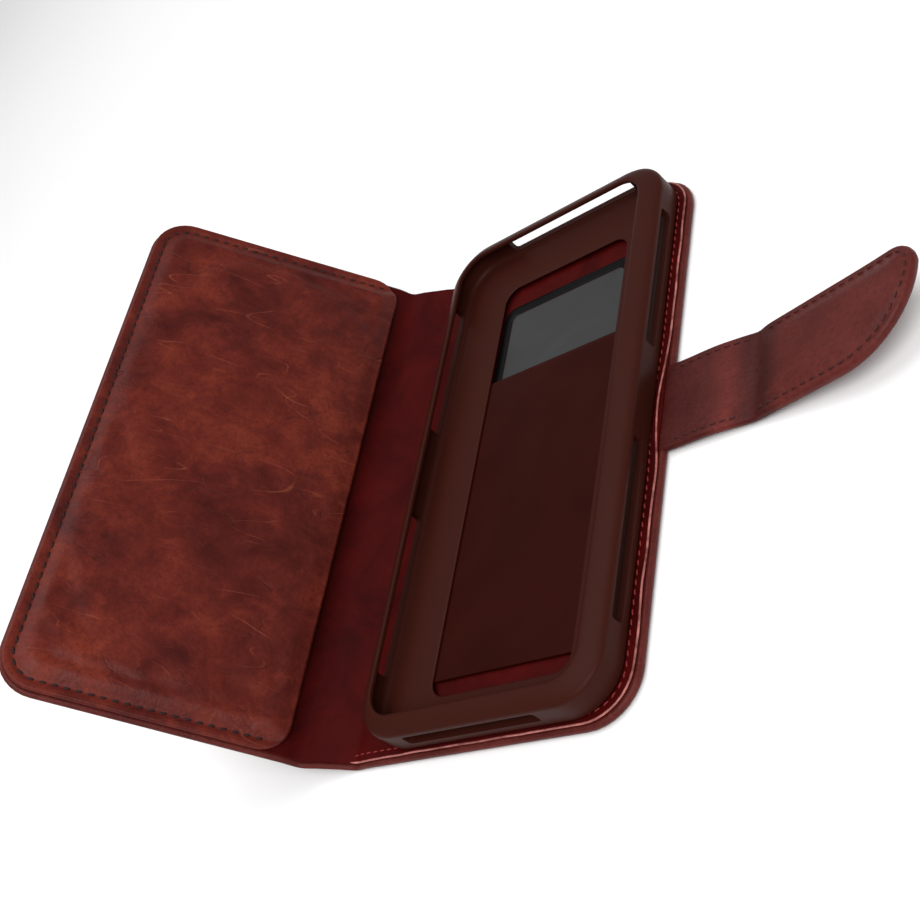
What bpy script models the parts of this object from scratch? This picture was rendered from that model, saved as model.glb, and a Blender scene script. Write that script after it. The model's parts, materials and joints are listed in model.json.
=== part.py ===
"""A folding wallet case for a phone, lying open on its back cover.

The origin is the middle of the back cover's outer face, +X points to the strap, +Y to the
phone's top and +Z up out of the tray. Each moving body hangs from an empty on its fold line,
and its layers are drawn flat, as in a fully opened case, before the empties fold them.
"""

from math import cos, pi, radians, sin

import bmesh
import bpy
from mathutils import Matrix

MM = 0.001

# Covers
HEIGHT = 168.0
BACK_WIDTH = 91.0
BACK_CORNER = 14.0
FLAP_WIDTH = 86.0
FLAP_CORNER = 12.0
SPINE_WIDTH = 17.5
BOARD_INSET = 1.6
FOLD_CLEARANCE = 1.6
BOARD_CLEARANCE = 3.4
SKIN_CLEARANCE = 0.3
PANEL_FOLD_CORNER = 7.5

# Fold lines and how far each one is folded at rest
FOLD_HEIGHT = 1.5
SPINE_TILT = radians(22.6)
FLAP_TILT = radians(35.0)
STRAP_FOLD_X = BACK_WIDTH / 2 + 1.5
STRAP_FOLD_HEIGHT = 1.6
TIP_LIFT = radians(12.0)

# Phone tray, measured from the middle of the back cover
TRAY_X = (-36.7, 42.2)
TRAY_Y = (-82.0, 83.0)
TRAY_CORNER = 13.0
TRAY_BOTTOM = 3.4
TRAY_FLOOR_TOP = 4.9
LIP_BOTTOM = 11.4
TRAY_TOP = 12.8
WALL = 1.8
# How far the lip reaches in: left, right, bottom, top
LIPS = (4.0, 7.0, 6.0, 4.4)
RIM_ROUNDING = 1.6
MOUTH_CORNER = 8.0
WINDOW_X = (-18.5, 27.0)
WINDOW_Y = (-69.5, 66.0)
SLOT_HEIGHT = 3.8
SLOT_MIDDLE = 8.0
SLOT_CORNER = 1.0
TOP_SLOT_HEIGHT = 5.0
TOP_SLOT_MIDDLE = 8.4

# Plate that carries the tray, and the base that it slides on
PLATE_X = (-26.0, 34.0)
PLATE_Y = (-64.5, 31.5)
BASE_X = (-19.0, 29.0)
BASE_Y = (-23.5, 59.5)
BASE_FRAME = 3.0

# Strap
STRAP_MIDDLE = 0.6
STRAP_WIDTH = 26.4
STRAP_BASE = 23.0
TIP_LENGTH = 45.0
TIP_ROUND = (21.0, 20.4)
TIP_CORNER = 6.0
MAGNET_RADIUS = 6.5
MAGNETS_X = (13.0, 29.0)

ARC_STEPS = 6

COLOURS = {
    "outer_leather": ((0.105, 0.022, 0.018), 0.45, 0.0),
    "panel_leather": ((0.13, 0.022, 0.014), 0.42, 0.0),
    "lining": ((0.06, 0.006, 0.006), 0.6, 0.0),
    "board": ((0.22, 0.16, 0.10), 0.8, 0.0),
    "foam": ((0.35, 0.30, 0.25), 0.9, 0.0),
    "tray_rubber": ((0.045, 0.013, 0.010), 0.4, 0.0),
    "plate": ((0.035, 0.010, 0.007), 0.2, 0.0),
    "black_plastic": ((0.008, 0.008, 0.008), 0.3, 0.0),
    "grey_plastic": ((0.045, 0.047, 0.050), 0.35, 0.0),
    "steel": ((0.55, 0.55, 0.55), 0.35, 1.0),
}


def clear_scene():
    for found in list(bpy.data.objects):
        bpy.data.objects.remove(found, do_unlink=True)


def collection(name, hidden=False):
    made = bpy.data.collections.new(name)
    made.hide_render = hidden
    bpy.context.scene.collection.children.link(made)
    return made


def material(name):
    """The Principled material of one kind of stuff, made the first time it is asked for."""
    found = bpy.data.materials.get(name)
    if found:
        return found
    colour, roughness, metallic = COLOURS[name]
    made = bpy.data.materials.new(name)
    made.use_nodes = True
    shader = made.node_tree.nodes["Principled BSDF"]
    shader.inputs["Base Color"].default_value = (*colour, 1.0)
    shader.inputs["Roughness"].default_value = roughness
    shader.inputs["Metallic"].default_value = metallic
    return made


def empty(name, place, turn=0.0, parent=None):
    """An empty on a fold line. turn is about +Y, in radians, and place is in mm."""
    made = bpy.data.objects.new(name, None)
    PARTS.objects.link(made)
    made.parent = parent
    made.location = [value * MM for value in place]
    made.rotation_euler = (0.0, turn, 0.0)
    return made


def arc(centre, radii, start, end, steps=ARC_STEPS):
    """Points of an elliptical arc from start to end, in degrees, both ends included."""
    turns = [radians(start + (end - start) * step / steps) for step in range(steps + 1)]
    return [(centre[0] + radii[0] * cos(t), centre[1] + radii[1] * sin(t)) for t in turns]


def rounded_rectangle(xs, ys, left, right):
    """An outline whose two left corners and two right corners have these radii."""
    (x0, x1), (y0, y1) = xs, ys
    corners = (
        ((x1, y1), (-1, -1), right, 0),
        ((x0, y1), (1, -1), left, 90),
        ((x0, y0), (1, 1), left, 180),
        ((x1, y0), (-1, 1), right, 270),
    )
    points = []
    for (x, y), (inward_x, inward_y), radius, start in corners:
        if radius:
            centre = (x + inward_x * radius, y + inward_y * radius)
            points += arc(centre, (radius, radius), start, start + 90)
        else:
            points.append((x, y))
    return points


def inset(pair, distance):
    return (pair[0] + distance, pair[1] - distance)


def slab(name, outlines, bottom, top, stuff, parent=None, group=None):
    """A flat layer between two heights. The first outline is its edge, the others are holes."""
    data = bpy.data.curves.new(name, "CURVE")
    data.dimensions = "2D"
    data.fill_mode = "BOTH"
    data.extrude = (top - bottom) / 2 * MM
    for outline in outlines:
        spline = data.splines.new("POLY")
        spline.points.add(len(outline) - 1)
        for point, (x, y) in zip(spline.points, outline):
            point.co = (x * MM, y * MM, 0.0, 1.0)
        spline.use_cyclic_u = True
    made = bpy.data.objects.new(name, data)
    (group or PARTS).objects.link(made)
    made.parent = parent
    made.location = (0.0, 0.0, (top + bottom) / 2 * MM)
    if stuff:
        data.materials.append(material(stuff))
    return made


def as_mesh(curve, stuff=None):
    """The same shape as a welded mesh object, which a Boolean can use."""
    bpy.context.view_layer.update()
    graph = bpy.context.evaluated_depsgraph_get()
    name, place = curve.name, curve.matrix_world.copy()
    groups = list(curve.users_collection)
    mesh = bpy.data.meshes.new_from_object(curve.evaluated_get(graph))
    bpy.data.objects.remove(curve, do_unlink=True)
    welded = bmesh.new()
    welded.from_mesh(mesh)
    bmesh.ops.remove_doubles(welded, verts=welded.verts, dist=1e-6)
    bmesh.ops.recalc_face_normals(welded, faces=welded.faces)
    welded.to_mesh(mesh)
    welded.free()
    made = bpy.data.objects.new(name, mesh)
    groups[0].objects.link(made)
    made.matrix_world = place
    mesh.materials.clear()
    if stuff:
        mesh.materials.append(material(stuff))
    return made


def cutter(name, outline, bottom, top):
    """A cutting block, drawn like a slab."""
    made = as_mesh(slab(name, [outline], bottom, top, None, group=CUTTERS))
    made.hide_render = True
    made.display_type = "WIRE"
    return made


def cut(target, tool):
    modifier = target.modifiers.new(tool.name, "BOOLEAN")
    modifier.operation = "DIFFERENCE"
    modifier.solver = "EXACT"
    modifier.object = tool


def wall_slot(target, name, middle, length, wall, along_x, height=SLOT_HEIGHT, level=SLOT_MIDDLE):
    """A long slot through the tray wall at this X or Y."""
    xs, ys = (-length / 2, length / 2), (-height / 2, height / 2)
    tool = cutter(name, rounded_rectangle(xs, ys, SLOT_CORNER, SLOT_CORNER), -WALL, WALL)
    stand = Matrix.Rotation(pi / 2, 4, "X")
    if along_x:
        place = Matrix.Translation((middle * MM, wall * MM, level * MM))
    else:
        place = Matrix.Translation((wall * MM, middle * MM, level * MM))
        stand = Matrix.Rotation(pi / 2, 4, "Z") @ stand
    tool.matrix_world = place @ stand
    cut(target, tool)


def disc(middle, radius):
    return arc(middle, (radius, radius), 0, 360 - 360 / 24, 23)


def back_cover():
    ys = (-HEIGHT / 2, HEIGHT / 2)
    edge = BACK_WIDTH / 2
    notch = 14.0
    strap_ys = (STRAP_MIDDLE - STRAP_WIDTH / 2, STRAP_MIDDLE + STRAP_WIDTH / 2)
    shell = rounded_rectangle((-edge + SKIN_CLEARANCE, edge), ys, 0, BACK_CORNER)
    slab("back_shell", [shell], 0.0, 1.0, "outer_leather")
    inner_xs = (-edge + BOARD_CLEARANCE, edge - BOARD_INSET)
    inner_ys = inset(ys, BOARD_INSET)
    corner = BACK_CORNER - BOARD_INSET
    board = rounded_rectangle(inner_xs, inner_ys, 0, corner)
    slot = [
        (inner_xs[1], strap_ys[0] - 0.5),
        (inner_xs[1] - notch, strap_ys[0] - 0.5),
        (inner_xs[1] - notch, strap_ys[1] + 0.5),
        (inner_xs[1], strap_ys[1] + 0.5),
    ]
    # The outline starts and ends on the strap's edge, so the notch closes it.
    slab("back_board", [board + slot], 1.1, 2.1, "board")
    anchor = rounded_rectangle((inner_xs[1] - notch + 0.4, edge - 0.4), strap_ys, 2.0, 0)
    slab("strap_anchor", [anchor], 1.1, 2.1, "outer_leather")
    lining_xs = (-edge + FOLD_CLEARANCE, edge - 0.5)
    lining = rounded_rectangle(lining_xs, inset(ys, 0.5), 0, BACK_CORNER - 0.5)
    seat = rounded_rectangle(inset(BASE_X, -0.2), inset(BASE_Y, -0.2), 4.2, 4.2)
    slab("back_lining", [lining, seat], 2.2, 3.2, "lining")
    outer = rounded_rectangle(BASE_X, BASE_Y, 4.0, 4.0)
    inner = rounded_rectangle(inset(BASE_X, BASE_FRAME), inset(BASE_Y, BASE_FRAME), 2.5, 2.5)
    slab("slide_base_frame", [outer, inner], 2.2, 3.2, "black_plastic")
    pad = rounded_rectangle(
        inset(BASE_X, BASE_FRAME + 0.15), inset(BASE_Y, BASE_FRAME + 0.15), 2.35, 2.35
    )
    slab("slide_base_pad", [pad], 2.2, 3.0, "grey_plastic")


def holder():
    body = rounded_rectangle(TRAY_X, TRAY_Y, TRAY_CORNER, TRAY_CORNER)
    tray = as_mesh(slab("phone_tray", [body], TRAY_BOTTOM, TRAY_TOP, None), "tray_rubber")
    bevel = tray.modifiers.new("rim", "BEVEL")
    bevel.width = RIM_ROUNDING * MM
    bevel.segments = 2
    bevel.limit_method = "ANGLE"
    bevel.angle_limit = radians(60)
    radius = TRAY_CORNER - WALL
    room = rounded_rectangle(inset(TRAY_X, WALL), inset(TRAY_Y, WALL), radius, radius)
    cut(tray, cutter("room", room, TRAY_FLOOR_TOP, LIP_BOTTOM))
    left, right, bottom, top = LIPS
    mouth_xs, mouth_ys = (TRAY_X[0] + left, TRAY_X[1] - right), (TRAY_Y[0] + bottom, TRAY_Y[1] - top)
    mouth = rounded_rectangle(mouth_xs, mouth_ys, MOUTH_CORNER, MOUTH_CORNER)
    cut(tray, cutter("mouth", mouth, LIP_BOTTOM - 1, TRAY_TOP + 2))
    cut(tray, cutter("window", rounded_rectangle(WINDOW_X, WINDOW_Y, 5, 5), 2, TRAY_FLOOR_TOP + 1))
    # The plate lies in a shallow seat under the tray's floor.
    seat = rounded_rectangle(inset(PLATE_X, -0.3), inset(PLATE_Y, -0.3), 3.3, 3.3)
    cut(tray, cutter("plate_seat", seat, 2, TRAY_BOTTOM + 0.9))
    top_wall = TRAY_Y[1] - WALL / 2
    wall_slot(tray, "top_slot", 6.0, 45.6, top_wall, True, TOP_SLOT_HEIGHT, TOP_SLOT_MIDDLE)
    wall_slot(tray, "bottom_slot", 1.0, 43.0, TRAY_Y[0] + WALL / 2, True)
    for side, wall in (("left", TRAY_X[0] + WALL / 2), ("right", TRAY_X[1] - WALL / 2)):
        wall_slot(tray, side + "_upper_slot", 40.5, 46.0, wall, False)
        wall_slot(tray, side + "_lower_slot", -36.5, 50.0, wall, False)
    plate = rounded_rectangle(PLATE_X, PLATE_Y, 3.0, 3.0)
    slab("mounting_plate", [plate], TRAY_BOTTOM, TRAY_BOTTOM + 0.8, "plate")


def spine(axis):
    ys = (-HEIGHT / 2, HEIGHT / 2)
    skin = rounded_rectangle((-SPINE_WIDTH + 0.3, -SKIN_CLEARANCE), ys, 0, 0)
    slab("spine_shell", [skin], -1.5, -0.5, "outer_leather", axis)
    core_xs = (-SPINE_WIDTH + BOARD_CLEARANCE, -BOARD_CLEARANCE)
    core = rounded_rectangle(core_xs, inset(ys, BOARD_INSET), 0, 0)
    slab("spine_board", [core], -0.4, 0.3, "board", axis)
    lining_xs = (-SPINE_WIDTH + FOLD_CLEARANCE, -FOLD_CLEARANCE)
    lining = rounded_rectangle(lining_xs, inset(ys, 0.5), 0, 0)
    slab("spine_lining", [lining], 0.4, 1.1, "lining", axis)


def flap(axis):
    ys = (-HEIGHT / 2, HEIGHT / 2)
    skin = rounded_rectangle((-FLAP_WIDTH, -SKIN_CLEARANCE), ys, FLAP_CORNER, 0)
    slab("flap_shell", [skin], -1.5, -0.5, "outer_leather", axis)
    board_xs = (-FLAP_WIDTH + BOARD_INSET, -BOARD_CLEARANCE)
    corner = FLAP_CORNER - BOARD_INSET
    board = rounded_rectangle(board_xs, inset(ys, BOARD_INSET), corner, 0)
    striker_xs = (-FLAP_WIDTH + 6.0, -FLAP_WIDTH + 40.0)
    striker_ys = (STRAP_MIDDLE - 9.0, STRAP_MIDDLE + 9.0)
    striker = rounded_rectangle(striker_xs, striker_ys, 2.0, 2.0)
    hole = rounded_rectangle(inset(striker_xs, -0.2), inset(striker_ys, -0.2), 2.2, 2.2)
    slab("flap_board", [board, hole], -0.4, 0.5, "board", axis)
    slab("striker_plate", [striker], -0.4, 0.5, "steel", axis)
    lining_xs = (-FLAP_WIDTH + 0.8, -FOLD_CLEARANCE)
    lining = rounded_rectangle(lining_xs, inset(ys, 0.8), FLAP_CORNER - 0.8, 2.0)
    slab("pocket_lining", [lining], 0.6, 1.2, "lining", axis)
    for name, low, high, margin, stuff in (
        ("panel_board", 1.3, 2.1, 3.4, "board"),
        ("panel_foam", 2.2, 3.4, 8.0, "foam"),
        ("panel_leather", 3.5, 4.3, 2.2, "panel_leather"),
    ):
        xs = (-FLAP_WIDTH + margin, -FOLD_CLEARANCE - margin)
        corner = max(FLAP_CORNER - margin, PANEL_FOLD_CORNER)
        layer = rounded_rectangle(xs, inset(ys, margin), corner, PANEL_FOLD_CORNER)
        slab(name, [layer], low, high, stuff, axis)


def strap_base(axis):
    ys = (STRAP_MIDDLE - STRAP_WIDTH / 2, STRAP_MIDDLE + STRAP_WIDTH / 2)
    xs = (0.4, STRAP_BASE - 0.6)
    layer = rounded_rectangle(xs, ys, 0, 0)
    slab("strap_base_outer", [layer], -1.0, -0.1, "outer_leather", axis)
    slab("strap_base_lining", [layer], 0.1, 1.0, "outer_leather", axis)


def tongue(start, shrink):
    """The strap tip's outline: square at the fold, with one small and one wide round corner."""
    middle, half = STRAP_MIDDLE, STRAP_WIDTH / 2
    turn = middle + half - TIP_CORNER
    wide, tall = TIP_ROUND[0] - shrink, turn - (middle - half) - shrink
    small = TIP_CORNER - shrink
    return (
        [(start, middle - half + shrink)]
        + arc((TIP_LENGTH - TIP_ROUND[0], turn), (wide, tall), -90, 0, 10)
        + arc((TIP_LENGTH - TIP_CORNER, turn), (small, small), 0, 90)[1:]
        + [(start, middle + half - shrink)]
    )


def strap_tip(axis):
    slab("strap_tip_outer", [tongue(0.4, 0.0)], -1.5, -0.7, "outer_leather", axis)
    slab("strap_tip_lining", [tongue(2.0, 0.0)], 0.7, 1.5, "outer_leather", axis)
    seats = [disc((x, STRAP_MIDDLE), MAGNET_RADIUS + 0.15) for x in MAGNETS_X]
    slab("strap_stiffener", [tongue(2.0, 2.2), *seats], -0.6, 0.6, "board", axis)
    for name, x in zip(("magnet_near_fold", "magnet_near_tip"), MAGNETS_X):
        slab(name, [disc((x, STRAP_MIDDLE), MAGNET_RADIUS)], -0.6, 0.6, "steel", axis)


clear_scene()
PARTS = collection("phone_wallet_case")
CUTTERS = collection("cutters", hidden=True)
spine_axis = empty("spine_axis", (-BACK_WIDTH / 2, 0.0, FOLD_HEIGHT), SPINE_TILT)
flap_axis = empty("flap_axis", (-SPINE_WIDTH, 0.0, 0.0), FLAP_TILT, spine_axis)
strap_axis = empty("strap_axis", (STRAP_FOLD_X, 0.0, STRAP_FOLD_HEIGHT))
tip_axis = empty("tip_axis", (STRAP_BASE, 0.0, 0.0), -TIP_LIFT, strap_axis)
back_cover()
holder()
spine(spine_axis)
flap(flap_axis)
strap_base(strap_axis)
strap_tip(tip_axis)
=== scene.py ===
"""The looks of a folding wallet case for a phone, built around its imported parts.

Lengths here are in mm until a mesh is made. A cover's layers are drawn in flat coordinates:
u runs across the opened case from the back cover's fold (+ to the strap, - to the flap),
y up the case and n out of the leather's middle. place_on_cover folds them as at rest.
"""

import json
from math import atan2, cos, hypot, pi, radians, sin

import bmesh
import bpy
from mathutils import Matrix, Vector, noise


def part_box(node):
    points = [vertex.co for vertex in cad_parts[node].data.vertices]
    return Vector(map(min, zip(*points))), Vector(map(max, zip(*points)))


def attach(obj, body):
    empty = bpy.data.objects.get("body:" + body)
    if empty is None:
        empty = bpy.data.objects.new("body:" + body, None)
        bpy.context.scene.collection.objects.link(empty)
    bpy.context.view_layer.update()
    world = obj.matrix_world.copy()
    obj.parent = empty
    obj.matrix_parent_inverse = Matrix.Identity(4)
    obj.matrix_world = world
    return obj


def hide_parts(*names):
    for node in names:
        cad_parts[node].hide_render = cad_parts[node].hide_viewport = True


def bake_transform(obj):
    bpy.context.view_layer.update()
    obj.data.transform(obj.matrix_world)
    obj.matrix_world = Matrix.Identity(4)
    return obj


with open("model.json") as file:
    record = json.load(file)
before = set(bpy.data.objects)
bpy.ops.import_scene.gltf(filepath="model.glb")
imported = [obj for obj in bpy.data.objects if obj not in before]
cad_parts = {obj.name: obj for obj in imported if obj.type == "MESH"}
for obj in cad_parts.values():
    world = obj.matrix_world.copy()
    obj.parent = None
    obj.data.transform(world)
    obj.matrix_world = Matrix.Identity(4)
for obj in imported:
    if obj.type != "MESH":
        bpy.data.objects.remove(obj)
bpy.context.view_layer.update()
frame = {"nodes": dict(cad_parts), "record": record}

MM = 0.001

# Fold lines, from the joints
JOINTS = {joint["name"]: joint for joint in frame["record"]["behaviour"]["joints"]}


def fold_line(joint):
    """(x, z) of a hinge, in mm."""
    x, _, z = JOINTS[joint]["pos_m"]
    return x / MM, z / MM


BACK_FOLD = fold_line("spine_fold")
FLAP_FOLD = fold_line("flap_fold")
STRAP_FOLD = fold_line("strap_base_fold")
TIP_FOLD = fold_line("strap_tip_fold")
SPINE = hypot(FLAP_FOLD[0] - BACK_FOLD[0], FLAP_FOLD[1] - BACK_FOLD[1])
SPINE_TILT = atan2(FLAP_FOLD[1] - BACK_FOLD[1], BACK_FOLD[0] - FLAP_FOLD[0])
FLAP_TILT = radians(JOINTS["flap_fold"]["range_deg"][1])
TIP_LIFT = -radians(JOINTS["strap_tip_fold"]["range_deg"][0])
STRAP_BASE = TIP_FOLD[0] - STRAP_FOLD[0]

# Covers
HALF_HEIGHT = 84.0
BACK_EDGE = 91.0
BACK_CORNER = 14.0
FLAP_EDGE = -SPINE - 86.0
FLAP_CORNER = 12.0
SEAM = -SPINE / 2
FOLD_SOFTNESS = 5.0
LINING_INSET = 1.3
# How far a layer's rounded edge stands out
OUTER_EDGE = 0.9
LINING_EDGE = 0.3
# How far from a fold its bend starts and ends
BEND = 4.0

# Panel on the flap
PANEL_MARGIN = 1.1
PANEL_EDGE = FLAP_EDGE + PANEL_MARGIN
PANEL_FOLD_EDGE = -SPINE - 4.4
PANEL_HALF = HALF_HEIGHT - PANEL_MARGIN
PANEL_UNDERSIDE = 1.32
PANEL_BORDER_TOP = 3.0
PANEL_FOLD_CORNER = 8.0
STITCH_INSET = 3.0
STITCH_PITCH = 3.3
STITCH_SLANT = 0.12
CLOTH_PRESSURE = 4.0
CLOTH_FRAMES = 14
CLOTH_CAP = 0.5 * MM

# Strap
STRAP_MIDDLE = 0.6
STRAP_HALF = 13.2
STRAP_START = -7.0
TIP_END = STRAP_BASE + 45.0
TIP_ROUND = 21.0
TIP_CORNER = 6.0
STRAP_STITCH_INSET = 2.0


def smooth(t):
    t = min(max(t, 0.0), 1.0)
    return t * t * (3 - 2 * t)


def mix(a, b, t):
    return a + (b - a) * t


def turned(point, pivot, angle):
    """A point of the XZ plane, turned so that what lies on the -X side of the pivot rises."""
    x, z = point[0] - pivot[0], point[1] - pivot[1]
    return (
        pivot[0] + x * cos(angle) + z * sin(angle),
        pivot[1] - x * sin(angle) + z * cos(angle),
    )


def place_on_cover(u, y, n):
    point = (BACK_FOLD[0] + u, BACK_FOLD[1] + n)
    share = smooth((FOLD_SOFTNESS - (u + SPINE)) / (2 * FOLD_SOFTNESS))
    point = turned(point, (BACK_FOLD[0] - SPINE, BACK_FOLD[1]), share * FLAP_TILT)
    share = smooth((FOLD_SOFTNESS - u) / (2 * FOLD_SOFTNESS))
    point = turned(point, BACK_FOLD, share * SPINE_TILT)
    return Vector((point[0] * MM, y * MM, point[1] * MM))


def strap_dip(s):
    """How far the strap's middle rises above its straight line, in its base and near its end."""
    return 0.5 * sin(pi * smooth(s / STRAP_BASE)) + 0.5 * smooth((s - 48) / 22) ** 2


def place_on_strap(s, y, n):
    point = (STRAP_FOLD[0] + s, STRAP_FOLD[1] + n + strap_dip(s))
    share = smooth((s - STRAP_BASE + FOLD_SOFTNESS) / (2 * FOLD_SOFTNESS))
    point = turned(point, TIP_FOLD, -share * TIP_LIFT)
    return Vector((point[0] * MM, y * MM, point[1] * MM))


def place_flat(x, y, z):
    return Vector((x * MM, y * MM, z * MM))


# ---------------------------------------------------------------- materials


class Nodes:
    """A material's node tree, with short calls for the nodes used here."""

    def __init__(self, name, roughness, specular=0.5):
        self.material = bpy.data.materials.new(name)
        self.material.use_nodes = True
        self.tree = self.material.node_tree
        self.shader = self.tree.nodes["Principled BSDF"]
        self.shader.inputs["Roughness"].default_value = roughness
        self.shader.inputs["Specular IOR Level"].default_value = specular
        self.where = None

    def node(self, kind, **settings):
        made = self.tree.nodes.new(kind)
        for key, value in settings.items():
            setattr(made, key, value)
        return made

    def link(self, a, b):
        self.tree.links.new(a, b)

    def coordinates(self):
        """The place on the flat piece, in metres, so that a pattern stays put in a fold."""
        if self.where is None:
            self.where = self.node("ShaderNodeAttribute", attribute_name="flat").outputs["Vector"]
        return self.where

    def object_coordinates(self):
        self.where = self.node("ShaderNodeTexCoord").outputs["Object"]
        return self.where

    def stretched(self, scale, turn=0.0):
        mapping = self.node("ShaderNodeMapping")
        mapping.inputs["Scale"].default_value = scale
        mapping.inputs["Rotation"].default_value = (0.0, 0.0, turn)
        self.link(self.coordinates(), mapping.inputs["Vector"])
        return mapping.outputs["Vector"]

    def noise(self, scale, detail=4.0, roughness=0.55, distortion=0.0, where=None):
        made = self.node("ShaderNodeTexNoise")
        made.inputs["Scale"].default_value = scale
        made.inputs["Detail"].default_value = detail
        made.inputs["Roughness"].default_value = roughness
        made.inputs["Distortion"].default_value = distortion
        self.link(where or self.coordinates(), made.inputs["Vector"])
        return made.outputs["Fac"]

    def cells(self, scale):
        made = self.node("ShaderNodeTexVoronoi")
        made.inputs["Scale"].default_value = scale
        self.link(self.coordinates(), made.inputs["Vector"])
        return made.outputs["Distance"]

    def math(self, operation, a, b=None, clamp=False):
        made = self.node("ShaderNodeMath", operation=operation, use_clamp=clamp)
        for socket, value in zip(made.inputs, (a, b)):
            if isinstance(value, (int, float)):
                socket.default_value = value
            elif value is not None:
                self.link(value, socket)
        return made.outputs[0]

    def ramp(self, value, stops):
        """stops are (position, grey or colour)."""
        made = self.node("ShaderNodeValToRGB")
        elements = made.color_ramp.elements
        while len(elements) < len(stops):
            elements.new(0.5)
        for element, (position, colour) in zip(elements, stops):
            element.position = position
            if isinstance(colour, (int, float)):
                colour = (colour, colour, colour)
            element.color = (*colour, 1.0)
        self.link(value, made.inputs["Fac"])
        return made.outputs["Color"]

    def blend(self, share, a, b, mode="MIX"):
        made = self.node("ShaderNodeMix", data_type="RGBA", blend_type=mode)
        for socket, value in ((made.inputs[0], share), (made.inputs[6], a), (made.inputs[7], b)):
            if isinstance(value, (int, float)):
                socket.default_value = value
            elif isinstance(value, tuple):
                socket.default_value = (*value, 1.0)
            else:
                self.link(value, socket)
        return made.outputs[2]

    def finish(self, colour, roughness=None, bumps=()):
        """bumps are (height, distance in metres, strength), laid over each other."""
        self.link(colour, self.shader.inputs["Base Color"])
        if roughness is not None:
            self.link(roughness, self.shader.inputs["Roughness"])
        normal = None
        for height, distance, strength in bumps:
            bump = self.node("ShaderNodeBump")
            bump.inputs["Distance"].default_value = distance
            bump.inputs["Strength"].default_value = strength
            self.link(height, bump.inputs["Height"])
            if normal:
                self.link(normal, bump.inputs["Normal"])
            normal = bump.outputs["Normal"]
        if normal:
            self.link(normal, self.shader.inputs["Normal"])
        return self.material


def wandering_lines(made, scale, detail, turn, stretch, width, place_scale):
    """Thin lines along the middle value of a stretched noise, kept in some places only."""
    field = made.noise(scale, detail, 0.45, 0.4, made.stretched(stretch, turn))
    away = made.math("ABSOLUTE", made.math("SUBTRACT", field, 0.5))
    line = made.ramp(away, [(0.0, 1.0), (width, 0.0)])
    place = made.ramp(made.noise(place_scale, 2), [(0.5, 0.0), (0.62, 1.0)])
    return made.math("MULTIPLY", line, place)


def leather(name, dark, middle, light, scratch, mottle=1.0, wear=1.0):
    """Waxed leather: cloudy patches, a fine pebble grain, fine wrinkles and thin scratches."""
    made = Nodes(name, 0.42, specular=0.13)
    clouds = made.noise(30, 6, 0.66, 0.9)
    patches = made.noise(80, 5, 0.62, 0.5, made.stretched((1.0, 1.25, 1.0), 0.35))
    tone = made.math("ADD", made.math("MULTIPLY", clouds, 0.5), made.math("MULTIPLY", patches, 0.5))
    spread = 0.15 / mottle
    colour = made.ramp(tone, [(0.5 - spread, dark), (0.5, middle), (0.5 + spread, light)])
    fine = made.noise(900, 3, 0.6)
    fine_share = made.math("MULTIPLY", made.math("SUBTRACT", fine, 0.42), 1.5, True)
    colour = made.blend(fine_share, colour, dark)
    wrinkle = wandering_lines(made, 60, 3.0, 0.2, (1.0, 2.0, 1.0), 0.02, 70)
    scratches = wandering_lines(made, 9, 1.0, -0.6, (1.0, 5.0, 1.0), 0.0028, 60)
    nicks = wandering_lines(made, 24, 1.0, 0.45, (1.0, 4.5, 1.0), 0.0050, 90)
    colour = made.blend(made.math("MULTIPLY", wrinkle, 0.45 * wear), colour, dark)
    colour = made.blend(made.math("MULTIPLY", scratches, 0.38 * wear), colour, scratch)
    colour = made.blend(made.math("MULTIPLY", nicks, 0.4 * wear), colour, scratch)
    grain = made.cells(1500)
    gloss = made.ramp(patches, [(0.3, 0.36), (0.7, 0.52)])
    bumps = [
        (grain, 0.00012, 0.25),
        (fine, 0.00025, 0.3),
        (wrinkle, -0.0004, 0.35 * wear),
        (made.noise(85, 4, 0.6, 0.6), 0.0016, 0.3 * mottle),
    ]
    return made, colour, gloss, bumps


def strap_leather():
    """The cover's leather, with a painted highlight where the strap bulges and painted shade in its crease
    and at its base.
    """
    made, colour, gloss, bumps = leather("strap_leather", *STRAP_SHEEN_TONES, mottle=0.5, wear=0.5)
    along_strap = made.node("ShaderNodeSeparateXYZ")
    made.link(made.coordinates(), along_strap.inputs[0])
    place = made.math("MULTIPLY", along_strap.outputs[0], 10.0)
    # Painted light and shade along the strap: darker at its base, a painted highlight about 16 mm out
    # where it bulges, painted shade about 27 mm out in its crease, then even from about 32 mm.
    painted_sheen_band = made.ramp(place, [(0.0, 0.46), (0.10, 0.58), (0.16, 1.0), (0.205, 0.50), (0.27, 0.38),
                             (0.32, 0.74), (0.55, 0.74)])
    return made.finish(made.blend(1.0, colour, painted_sheen_band, "MULTIPLY"), gloss, bumps)


def lining_material():
    made = Nodes("lining_soft", 0.62, specular=0.05)
    clouds = made.noise(42, 5, 0.6, 0.6)
    colour = made.ramp(clouds, [(0.32, (0.028, 0.0006, 0.0006)), (0.72, (0.072, 0.0024, 0.0022))])
    nap = made.noise(1300, 3, 0.6)
    colour = made.blend(made.math("MULTIPLY", nap, 0.35), colour, (0.022, 0.001, 0.001))
    return made.finish(colour, None, [(nap, 0.0002, 0.35), (clouds, 0.0015, 0.25)])


def rubber_material():
    made = Nodes("tray_soft_plastic", 0.42, specular=0.05)
    clouds = made.noise(30, 4, 0.5)
    colour = made.ramp(clouds, [(0.3, (0.026, 0.0046, 0.0026)), (0.7, (0.040, 0.0084, 0.0052))])
    frost = made.noise(2600, 2, 0.7)
    colour = made.blend(made.math("MULTIPLY", frost, 0.12), colour, (0.070, 0.020, 0.014))
    gloss = made.ramp(made.noise(110, 4), [(0.3, 0.33), (0.75, 0.45)])
    return made.finish(colour, gloss, [(frost, 0.00008, 0.35), (made.noise(90, 3), 0.0006, 0.12)])


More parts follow.
